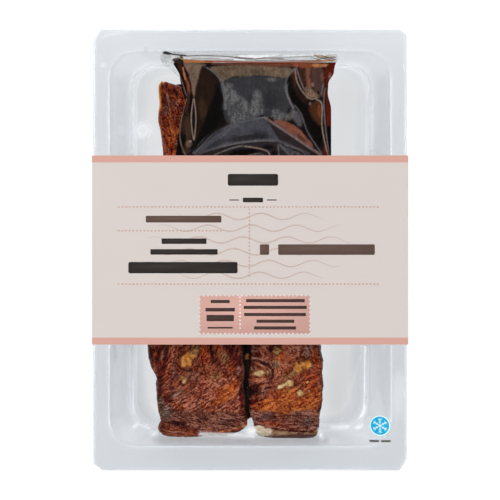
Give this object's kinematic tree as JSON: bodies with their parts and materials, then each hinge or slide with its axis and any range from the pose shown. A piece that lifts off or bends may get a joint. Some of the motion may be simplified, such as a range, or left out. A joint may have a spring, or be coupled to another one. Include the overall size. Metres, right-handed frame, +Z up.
{
  "type": "hot smoked salmon fillet pack",
  "caption": "Clear tray of glazed hot smoked salmon fillets sealed under clear film, with a pillow sachet of dark sauce on top and a card sleeve round the middle.",
  "frame": {"origin": "middle of the underside of the pack as it lies flat, on the sleeve's back panel", "axes": "+Z up out of the side that shows the fillets, +Y along the pack towards the end where the sachet shows, +X across the pack"},
  "size_m": [0.1506, 0.21, 0.0299],
  "materials": {
    "tray": "clear thermoformed plastic",
    "film": "clear gloss film",
    "fish": "dark glazed fish",
    "sauce": "dark sauce behind gloss film",
    "card": "matt printed card",
    "mark": "matt print"
  },
  "bodies": {
    "root": {"tray": "tray", "film": "film", "fillet_left": "fish", "fillet_right": "fish", "sachet": "sauce", "sleeve": "card", "freeze_mark": "mark"}
  },
  "joints": []
}
